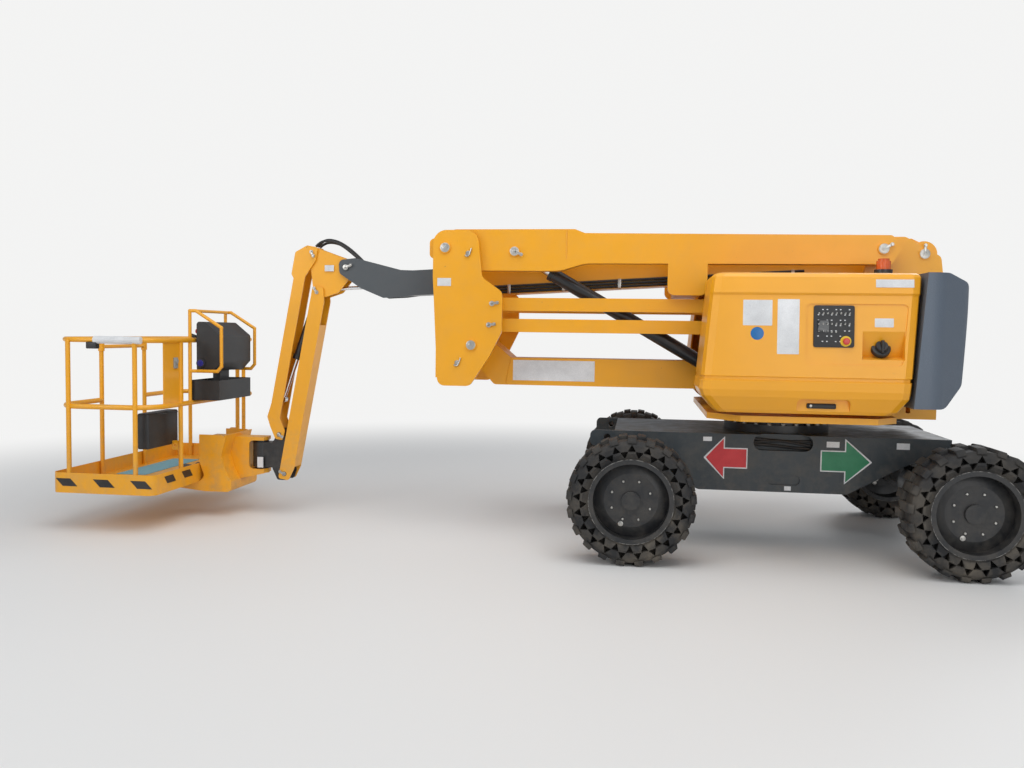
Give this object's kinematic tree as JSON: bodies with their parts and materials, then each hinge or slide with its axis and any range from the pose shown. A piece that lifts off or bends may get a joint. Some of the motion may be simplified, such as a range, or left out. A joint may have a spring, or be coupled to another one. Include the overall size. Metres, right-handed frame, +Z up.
{
  "type": "articulating boom lift",
  "caption": "Rough-terrain articulating boom lift with folding arms, telescopic boom, parallelogram jib and work basket on a slewing turret.",
  "frame": {"origin": "on the ground under the centre of the parked machine's bounding box", "axes": "+X from the rear axle to the basket, +Y to the machine's left, +Z up"},
  "size_m": [6.724, 2.3, 2.24],
  "materials": {
    "yellow_paint": "satin",
    "black_paint": "satin",
    "slate_paint": "satin",
    "grey_paint": "satin",
    "weight_paint": "matte",
    "tyre": "matte",
    "chrome_rod": "polished",
    "cast_metal": "matte",
    "beacon_lens": "gloss",
    "black_plastic": "matte"
  },
  "bodies": {
    "chassis": {"chassis_frame": "slate_paint", "slew_ring": "black_paint", "axles": "black_paint"},
    "knuckle_left": {"steer_knuckle_left": "black_paint"},
    "knuckle_right": {"steer_knuckle_right": "black_paint"},
    "turret": {"turret_frame": "yellow_paint", "counterweight": "weight_paint", "engine_block": "cast_metal"},
    "hood_left": {"hood_left": "yellow_paint", "beacon": "beacon_lens"},
    "hood_right": {"hood_right": "yellow_paint"},
    "lower_arm": {"lower_arm": "yellow_paint"},
    "lower_ties": {"lower_tie_bars": "yellow_paint"},
    "front_knuckle": {"front_knuckle": "yellow_paint"},
    "upper_arm": {"upper_arm": "yellow_paint"},
    "upper_ties": {"upper_tie_bars": "yellow_paint"},
    "rear_knuckle": {"rear_knuckle": "yellow_paint"},
    "boom": {"boom_outer": "yellow_paint"},
    "telescope": {"boom_inner": "grey_paint"},
    "lift_barrels": {"lift_cylinder_barrels": "black_paint"},
    "lift_rods": {"lift_cylinder_rods": "chrome_rod"},
    "boom_barrel": {"boom_cylinder_barrel": "black_paint"},
    "boom_rod": {"boom_cylinder_rod": "chrome_rod"},
    "level_barrel": {"level_cylinder_barrel": "black_paint"},
    "level_rod": {"level_cylinder_rod": "chrome_rod"},
    "jib_head": {"jib_head": "yellow_paint"},
    "jib_arm": {"jib_arm": "yellow_paint"},
    "jib_tie": {"jib_tie_bar": "yellow_paint"},
    "jib_barrel": {"jib_cylinder_barrel": "black_paint"},
    "jib_rod": {"jib_cylinder_rod": "chrome_rod"},
    "jib_foot": {"jib_foot": "black_paint"},
    "basket": {"basket_mount": "yellow_paint", "basket_floor": "yellow_paint", "basket_rails": "yellow_paint", "console": "black_plastic"},
    "entry_bar": {"entry_bar": "yellow_paint"},
    "wheel_front_left": {"wheel_rim_front_left": "black_paint", "tyre_front_left": "tyre"},
    "wheel_front_right": {"wheel_rim_front_right": "black_paint", "tyre_front_right": "tyre"},
    "wheel_rear_left": {"wheel_rim_rear_left": "black_paint", "tyre_rear_left": "tyre"},
    "wheel_rear_right": {"wheel_rim_rear_right": "black_paint", "tyre_rear_right": "tyre"}
  },
  "joints": [
    {"name": "slew", "type": "hinge", "parent": "chassis", "child": "turret", "pos_m": [-1.8905, 0, 0.94], "axis": [0, 0, 1], "continuous": true},
    {"name": "arm_lift", "type": "hinge", "parent": "turret", "child": "lower_arm", "pos_m": [-2.4905, 0, 1.4], "axis": [0, -1, 0], "range_deg": [0, 65]},
    {"name": "lower_tie", "type": "hinge", "parent": "turret", "child": "lower_ties", "pos_m": [-2.6195, 0, 1.548], "axis": [0, -1, 0], "range_deg": [0, 65]},
    {"name": "front_knuckle", "type": "hinge", "parent": "lower_arm", "child": "front_knuckle", "pos_m": [0.3375, 0, 1.4], "axis": [0, -1, 0], "range_deg": [-65, 0]},
    {"name": "upper_arm", "type": "hinge", "parent": "front_knuckle", "child": "upper_arm", "pos_m": [0.5355, 0, 2.102], "axis": [0, -1, 0], "range_deg": [-65, 0]},
    {"name": "upper_tie", "type": "hinge", "parent": "front_knuckle", "child": "upper_ties", "pos_m": [0.1875, 0, 1.702], "axis": [0, -1, 0], "range_deg": [-65, 0]},
    {"name": "rear_knuckle", "type": "hinge", "parent": "upper_arm", "child": "rear_knuckle", "pos_m": [-2.5105, 0, 2.102], "axis": [0, -1, 0], "range_deg": [0, 65]},
    {"name": "lift_barrel", "type": "hinge", "parent": "lower_arm", "child": "lift_barrels", "pos_m": [-1.5405, 0, 1.17], "axis": [0, -1, 0], "range_deg": [-12.35, 0]},
    {"name": "lift_rod", "type": "slide", "parent": "lift_barrels", "child": "lift_rods", "axis": [0.866, 0, 0.5], "range_m": [0, 1.2382]},
    {"name": "boom_lift", "type": "hinge", "parent": "rear_knuckle", "child": "boom", "pos_m": [-2.8205, 0, 2.081], "axis": [0, -1, 0], "range_deg": [0, 75]},
    {"name": "boom_barrel", "type": "hinge", "parent": "rear_knuckle", "child": "boom_barrel", "pos_m": [-2.6905, 0, 1.5], "axis": [0, -1, 0], "range_deg": [0, 60.27]},
    {"name": "boom_rod", "type": "slide", "parent": "boom_barrel", "child": "boom_rod", "axis": [0.9621, 0, 0.2726], "range_m": [0, 0.6111]},
    {"name": "telescope", "type": "slide", "parent": "boom", "child": "telescope", "axis": [0.9983, 0, -0.0576], "range_m": [0, 2]},
    {"name": "jib_level", "type": "hinge", "parent": "telescope", "child": "jib_head", "pos_m": [1.41049, 0, 1.98499], "axis": [0, -1, 0], "range_deg": [-75, 0]},
    {"name": "level_barrel", "type": "hinge", "parent": "telescope", "child": "level_barrel", "pos_m": [0.80949, 0, 1.85998], "axis": [0, -1, 0], "range_deg": [-1.41, 0]},
    {"name": "level_rod", "type": "slide", "parent": "level_barrel", "child": "level_rod", "axis": [0.9985, 0, -0.0541], "range_m": [-0.2322, 0]},
    {"name": "jib_lift", "type": "hinge", "parent": "jib_head", "child": "jib_arm", "pos_m": [1.69549, 0, 2.10499], "axis": [0, -1, 0], "range_deg": [0, 140]},
    {"name": "jib_tie", "type": "hinge", "parent": "jib_head", "child": "jib_tie", "pos_m": [1.65149, 0, 1.78999], "axis": [0, -1, 0], "range_deg": [0, 140]},
    {"name": "jib_foot", "type": "hinge", "parent": "jib_arm", "child": "jib_foot", "pos_m": [1.9641, 0, 0.65567], "axis": [0, -1, 0], "range_deg": [-140, 0]},
    {"name": "jib_barrel", "type": "hinge", "parent": "jib_head", "child": "jib_barrel", "pos_m": [1.63049, 0, 1.86399], "axis": [0, -1, 0], "range_deg": [0, 135.36]},
    {"name": "jib_rod", "type": "slide", "parent": "jib_barrel", "child": "jib_rod", "axis": [0.3322, 0, -0.9432], "range_m": [0, 0.4594]},
    {"name": "basket_rotate", "type": "hinge", "parent": "jib_foot", "child": "basket", "pos_m": [2.1395, 0, 0.6], "axis": [0, 0, 1], "range_deg": [-90, 90]},
    {"name": "entry_bar", "type": "slide", "parent": "basket", "child": "entry_bar", "axis": [0, 0, 1], "range_m": [-0.36, 0]},
    {"name": "hood_left_lift", "type": "hinge", "parent": "turret", "child": "hood_left", "pos_m": [-2.3905, 0.488, 1.902], "axis": [1, 0, 0], "range_deg": [0, 50]},
    {"name": "hood_right_lift", "type": "hinge", "parent": "turret", "child": "hood_right", "pos_m": [-2.3905, -0.488, 1.902], "axis": [-1, 0, 0], "range_deg": [0, 50]},
    {"name": "steer_left", "type": "hinge", "parent": "chassis", "child": "knuckle_left", "pos_m": [-0.8405, 0.7, 0.41783], "axis": [0, 0, 1], "range_deg": [-30, 30]},
    {"name": "steer_right", "type": "hinge", "parent": "chassis", "child": "knuckle_right", "pos_m": [-0.8405, -0.7, 0.41783], "axis": [0, 0, 1], "range_deg": [-30, 30]},
    {"name": "spin_front_left", "type": "hinge", "parent": "knuckle_left", "child": "wheel_front_left", "pos_m": [-0.8405, 0.9975, 0.41783], "axis": [0, 1, 0], "continuous": true},
    {"name": "spin_front_right", "type": "hinge", "parent": "knuckle_right", "child": "wheel_front_right", "pos_m": [-0.8405, -0.9975, 0.41783], "axis": [0, 1, 0], "continuous": true},
    {"name": "spin_rear_left", "type": "hinge", "parent": "chassis", "child": "wheel_rear_left", "pos_m": [-2.9405, 0.9975, 0.41783], "axis": [0, 1, 0], "continuous": true},
    {"name": "spin_rear_right", "type": "hinge", "parent": "chassis", "child": "wheel_rear_right", "pos_m": [-2.9405, -0.9975, 0.41783], "axis": [0, 1, 0], "continuous": true}
  ],
  "couplings": [
    {"joint": "lower_tie", "follows": "arm_lift", "ratio": 1},
    {"joint": "front_knuckle", "follows": "arm_lift", "ratio": -1},
    {"joint": "upper_arm", "follows": "arm_lift", "ratio": -1},
    {"joint": "upper_tie", "follows": "arm_lift", "ratio": -1},
    {"joint": "rear_knuckle", "follows": "arm_lift", "ratio": 1},
    {"joint": "lift_barrel", "follows": "arm_lift", "ratio": -0.1897},
    {"joint": "lift_rod", "follows": "arm_lift", "m_per_rad": 1.091},
    {"joint": "boom_barrel", "follows": "boom_lift", "ratio": 0.8034},
    {"joint": "boom_rod", "follows": "boom_lift", "m_per_rad": 0.4665},
    {"joint": "jib_level", "follows": "boom_lift", "ratio": -1},
    {"joint": "level_barrel", "follows": "boom_lift", "ratio": -0.0185},
    {"joint": "level_rod", "follows": "boom_lift", "m_per_rad": -0.177},
    {"joint": "jib_tie", "follows": "jib_lift", "ratio": 1},
    {"joint": "jib_foot", "follows": "jib_lift", "ratio": -1},
    {"joint": "jib_barrel", "follows": "jib_lift", "ratio": 0.9667},
    {"joint": "jib_rod", "follows": "jib_lift", "m_per_rad": 0.1878},
    {"joint": "steer_right", "follows": "steer_left", "ratio": 1}
  ]
}
